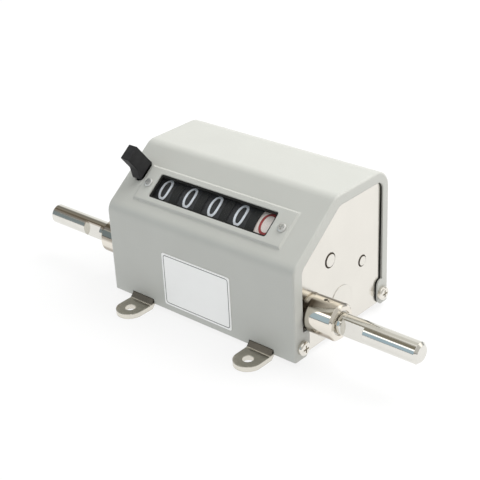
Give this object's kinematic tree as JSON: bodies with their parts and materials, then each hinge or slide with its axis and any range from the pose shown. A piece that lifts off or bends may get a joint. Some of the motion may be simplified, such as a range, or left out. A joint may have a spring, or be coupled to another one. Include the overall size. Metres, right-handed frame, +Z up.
{
  "type": "cable length counter",
  "caption": "Mechanical length counter: a through shaft drives number drums behind a sloped window in a bent sheet case on screw-down feet, with a reset lever.",
  "frame": {"origin": "centre of the four foot holes, on the plane that the feet stand on", "axes": "+X along the shaft towards the right end, +Y from the front to the back, +Z up"},
  "size_m": [0.228, 0.1036, 0.077],
  "materials": {
    "enamel": "light grey enamel, slightly satin",
    "plated_steel": "zinc plated, warm satin",
    "strap_steel": "zinc plated strap",
    "rivet_steel": "satin",
    "chrome": "polished",
    "shaft_steel": "ground and polished",
    "dark_steel": "turned",
    "brass": "machined",
    "units_white": "moulded",
    "drum_black": "moulded",
    "pinion_white": "moulded",
    "lens_clear": "clear, polished",
    "gasket_rubber": "matt",
    "knob_black": "moulded",
    "sign_white": "satin, bare",
    "spring_steel": "drawn wire",
    "screw_nickel": "nickel plated"
  },
  "bodies": {
    "housing": {"cover": "enamel", "left_side_plate": "plated_steel", "right_side_plate": "plated_steel", "base_plate": "plated_steel", "front_tie_rod": "plated_steel", "top_tie_rod": "plated_steel", "low_tie_rod": "plated_steel", "drum_axle": "plated_steel", "pinion_axle": "plated_steel", "left_foot_strap": "strap_steel", "right_foot_strap": "strap_steel", "left_front_strap_rivet": "rivet_steel", "left_back_strap_rivet": "rivet_steel", "right_front_strap_rivet": "rivet_steel", "right_back_strap_rivet": "rivet_steel", "left_bearing_housing": "chrome", "right_bearing_housing": "chrome", "left_bush": "rivet_steel", "right_bush": "rivet_steel", "left_housing_nut": "dark_steel", "right_housing_nut": "dark_steel", "left_outer_spacer": "dark_steel", "left_inner_spacer": "dark_steel", "right_spacer": "dark_steel", "left_pinion_spacer": "dark_steel", "right_pinion_spacer": "dark_steel", "window_lens": "lens_clear", "window_gasket": "gasket_rubber", "name_plate": "sign_white", "reset_spring": "spring_steel", "left_window_screw": "screw_nickel", "right_window_screw": "screw_nickel", "left_front_cover_screw": "screw_nickel", "left_back_cover_screw": "screw_nickel", "right_front_cover_screw": "screw_nickel", "right_back_cover_screw": "screw_nickel"},
    "drive_shaft": {"drive_shaft": "shaft_steel", "drive_gear": "brass", "drive_gear_pin": "shaft_steel", "left_end_pin": "shaft_steel", "right_end_pin": "shaft_steel"},
    "units_wheel": {"units_drum": "units_white", "units_gear": "brass"},
    "tens_wheel": {"tens_drum": "drum_black"},
    "hundreds_wheel": {"hundreds_drum": "drum_black"},
    "thousands_wheel": {"thousands_drum": "drum_black"},
    "ten_thousands_wheel": {"ten_thousands_drum": "drum_black"},
    "pinion_1": {"transfer_pinion_1": "pinion_white"},
    "pinion_2": {"transfer_pinion_2": "pinion_white"},
    "pinion_3": {"transfer_pinion_3": "pinion_white"},
    "pinion_4": {"transfer_pinion_4": "pinion_white"},
    "reset_lever": {"reset_arm": "plated_steel", "reset_knob": "knob_black"},
    "reset_comb": {"reset_comb": "plated_steel"}
  },
  "joints": [
    {"name": "drive_shaft_spin", "type": "hinge", "parent": "housing", "child": "drive_shaft", "pos_m": [0, -0.02115, 0.0222], "axis": [1, 0, 0], "continuous": true},
    {"name": "units_wheel_spin", "type": "hinge", "parent": "housing", "child": "units_wheel", "pos_m": [0, -0.0079, 0.04221], "axis": [1, 0, 0], "continuous": true},
    {"name": "tens_wheel_spin", "type": "hinge", "parent": "housing", "child": "tens_wheel", "pos_m": [0, -0.0079, 0.04221], "axis": [1, 0, 0], "continuous": true},
    {"name": "pinion_1_spin", "type": "hinge", "parent": "housing", "child": "pinion_1", "pos_m": [0, 0.01623, 0.03152], "axis": [1, 0, 0], "continuous": true},
    {"name": "hundreds_wheel_spin", "type": "hinge", "parent": "housing", "child": "hundreds_wheel", "pos_m": [0, -0.0079, 0.04221], "axis": [1, 0, 0], "continuous": true},
    {"name": "pinion_2_spin", "type": "hinge", "parent": "housing", "child": "pinion_2", "pos_m": [0, 0.01623, 0.03152], "axis": [1, 0, 0], "continuous": true},
    {"name": "thousands_wheel_spin", "type": "hinge", "parent": "housing", "child": "thousands_wheel", "pos_m": [0, -0.0079, 0.04221], "axis": [1, 0, 0], "continuous": true},
    {"name": "pinion_3_spin", "type": "hinge", "parent": "housing", "child": "pinion_3", "pos_m": [0, 0.01623, 0.03152], "axis": [1, 0, 0], "continuous": true},
    {"name": "ten_thousands_wheel_spin", "type": "hinge", "parent": "housing", "child": "ten_thousands_wheel", "pos_m": [0, -0.0079, 0.04221], "axis": [1, 0, 0], "continuous": true},
    {"name": "pinion_4_spin", "type": "hinge", "parent": "housing", "child": "pinion_4", "pos_m": [0, 0.01623, 0.03152], "axis": [1, 0, 0], "continuous": true},
    {"name": "reset_lever_press", "type": "hinge", "parent": "housing", "child": "reset_lever", "pos_m": [-0.049, -0.0079, 0.04221], "axis": [1, 0, 0], "range_deg": [0, 14], "stiffness_Nm_per_rad": 0.15, "springref_deg": -5.73},
    {"name": "reset_comb_swing", "type": "hinge", "parent": "housing", "child": "reset_comb", "pos_m": [0, 0.00005, 0.0182], "axis": [1, 0, 0], "range_deg": [-11.1, 0]}
  ],
  "couplings": [
    {"joint": "units_wheel_spin", "follows": "drive_shaft_spin", "ratio": -0.5},
    {"joint": "tens_wheel_spin", "follows": "drive_shaft_spin", "ratio": -0.05},
    {"joint": "pinion_1_spin", "follows": "drive_shaft_spin", "ratio": 0.083333},
    {"joint": "hundreds_wheel_spin", "follows": "drive_shaft_spin", "ratio": -0.005},
    {"joint": "pinion_2_spin", "follows": "drive_shaft_spin", "ratio": 0.0083333},
    {"joint": "thousands_wheel_spin", "follows": "drive_shaft_spin", "ratio": -0.0005},
    {"joint": "pinion_3_spin", "follows": "drive_shaft_spin", "ratio": 0.00083333},
    {"joint": "ten_thousands_wheel_spin", "follows": "drive_shaft_spin", "ratio": -0.00005},
    {"joint": "pinion_4_spin", "follows": "drive_shaft_spin", "ratio": 0.000083333},
    {"joint": "reset_comb_swing", "follows": "reset_lever_press", "ratio": -0.78925}
  ]
}
